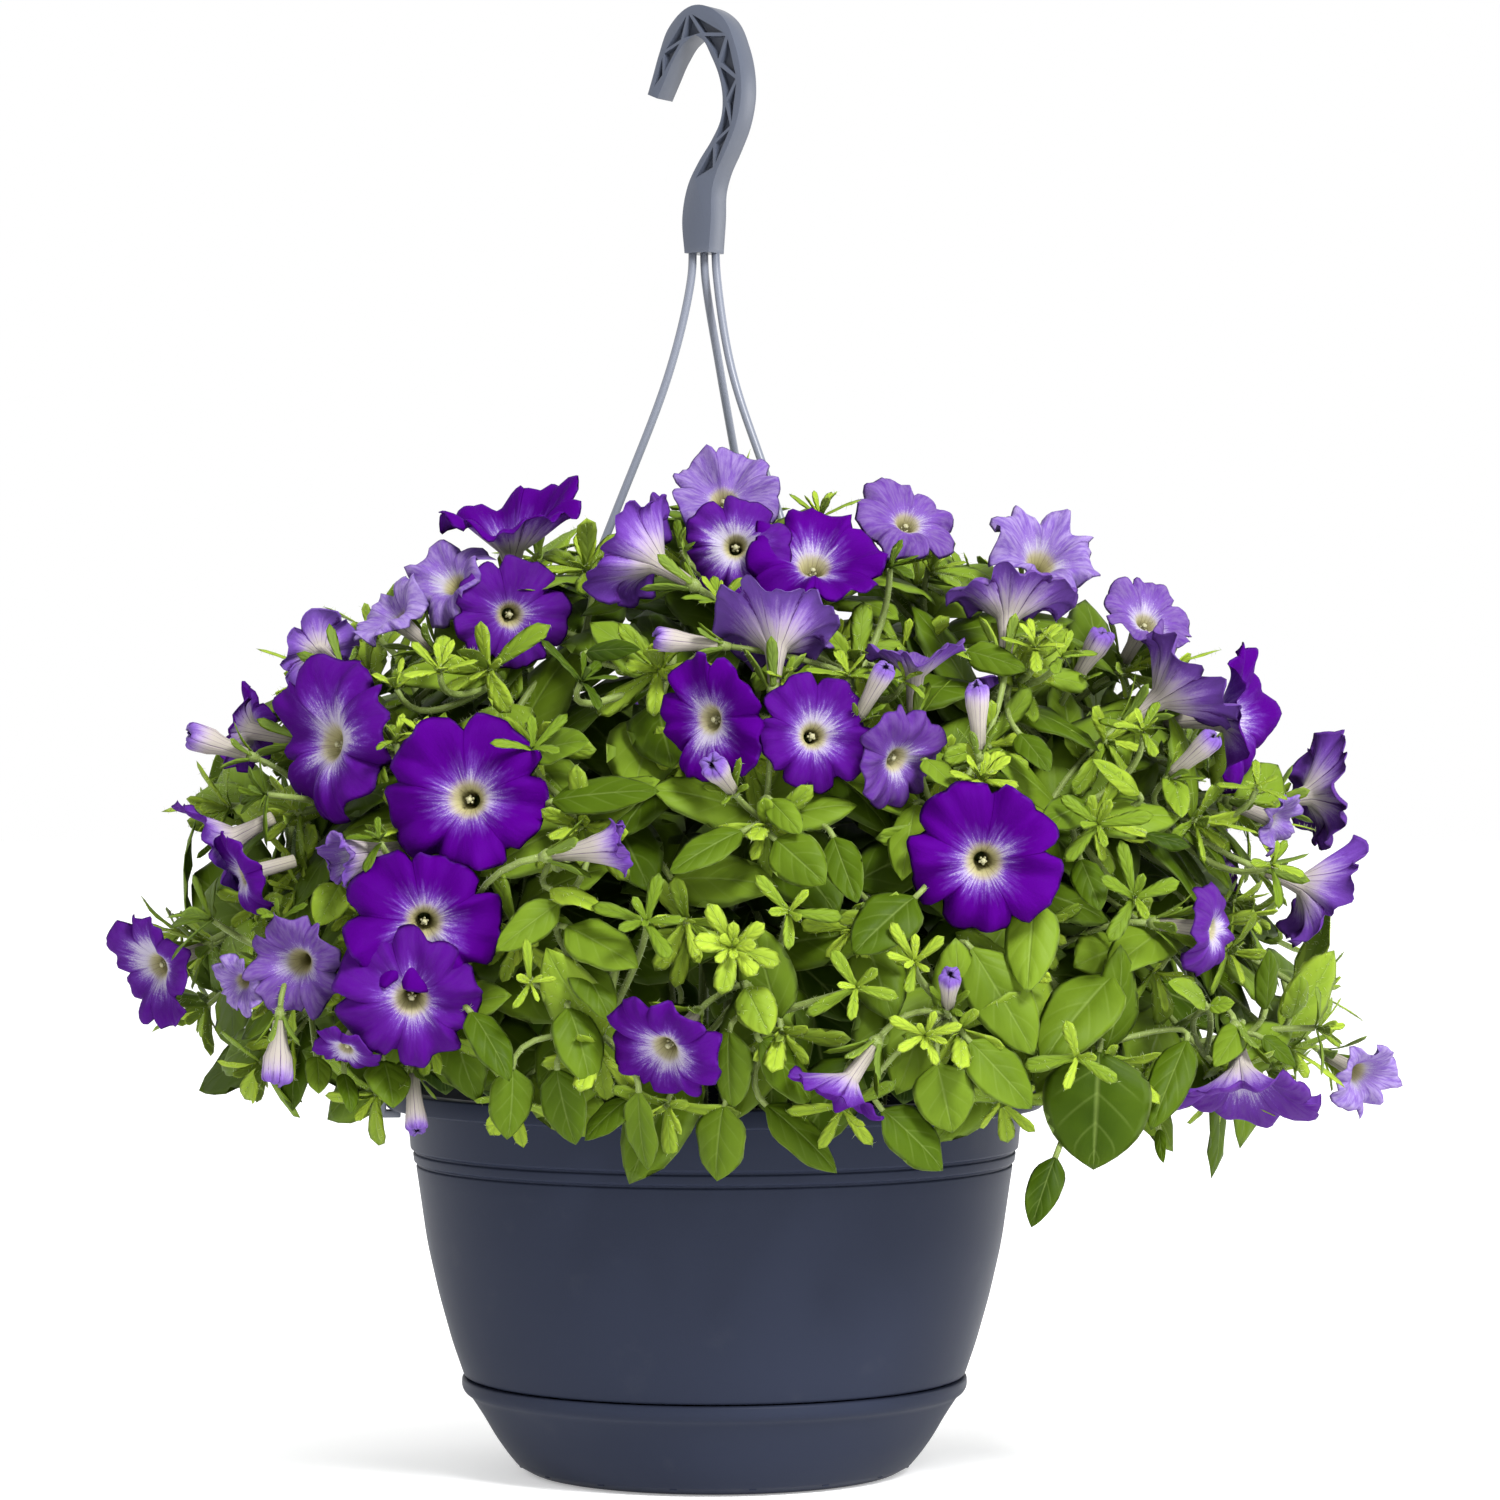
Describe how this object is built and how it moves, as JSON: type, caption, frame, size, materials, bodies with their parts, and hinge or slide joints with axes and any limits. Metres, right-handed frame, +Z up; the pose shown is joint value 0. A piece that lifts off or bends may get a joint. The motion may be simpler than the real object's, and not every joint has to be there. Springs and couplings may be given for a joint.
{
  "type": "petunia hanging basket",
  "caption": "Plastic hanging pot with saucer, moulded hook and strands, filled with leafy stems and violet funnel-shaped petunia blooms.",
  "frame": {"origin": "centre of the saucer's flat underside", "axes": "+Z up along the pot's axis to the hook, +X to the right and -Y to the front"},
  "size_m": [0.5214, 0.4214, 0.6018],
  "materials": {
    "pot_plastic": "satin anthracite moulded polypropylene",
    "hanger_plastic": "satin mid grey moulded polypropylene",
    "compost": "crumbly damp potting compost",
    "foliage": "soft hairy leaves and stems",
    "violet_petals": "velvety deep violet petals with a pale rayed star",
    "lavender_petals": "faded crumpled lavender petals"
  },
  "bodies": {
    "root": {"pot": "pot_plastic", "saucer": "pot_plastic", "hanger": "hanger_plastic", "soil": "compost", "stem_left": "foliage", "stem_front_left": "foliage", "stem_front_a": "foliage", "stem_front_b": "foliage", "stem_front_c": "foliage", "stem_front_d": "foliage", "stem_front_e": "foliage", "stem_front_right": "foliage", "stem_right": "foliage", "stem_back_right": "foliage", "stem_back_a": "foliage", "stem_back_b": "foliage", "stem_back_c": "foliage", "stem_back_left": "foliage", "bloom_01": "violet_petals", "bloom_02": "lavender_petals", "bloom_03": "violet_petals", "bloom_04": "lavender_petals", "bloom_05": "violet_petals", "bloom_06": "violet_petals", "bloom_07": "violet_petals", "bloom_08": "violet_petals", "bloom_10": "violet_petals", "bloom_11": "violet_petals", "bloom_12": "violet_petals", "bloom_14": "violet_petals", "bloom_16": "lavender_petals", "bloom_17": "violet_petals", "bloom_18": "violet_petals", "bloom_19": "violet_petals", "bloom_20": "violet_petals", "bloom_21": "violet_petals", "bloom_22": "violet_petals", "bloom_24": "violet_petals", "bloom_25": "violet_petals", "bloom_26": "violet_petals", "bloom_27": "violet_petals", "bloom_28": "lavender_petals", "bloom_29": "violet_petals", "bloom_31": "violet_petals", "bloom_33": "lavender_petals", "bloom_34": "violet_petals", "bloom_35": "violet_petals", "bloom_36": "violet_petals", "bloom_37": "violet_petals", "bloom_38": "violet_petals", "bloom_39": "violet_petals", "bloom_40": "violet_petals", "bloom_41": "lavender_petals", "bloom_42": "violet_petals", "bloom_43": "violet_petals", "bloom_44": "violet_petals", "bloom_45": "violet_petals", "bloom_46": "violet_petals", "bloom_47": "violet_petals", "bloom_48": "violet_petals"}
  },
  "joints": []
}
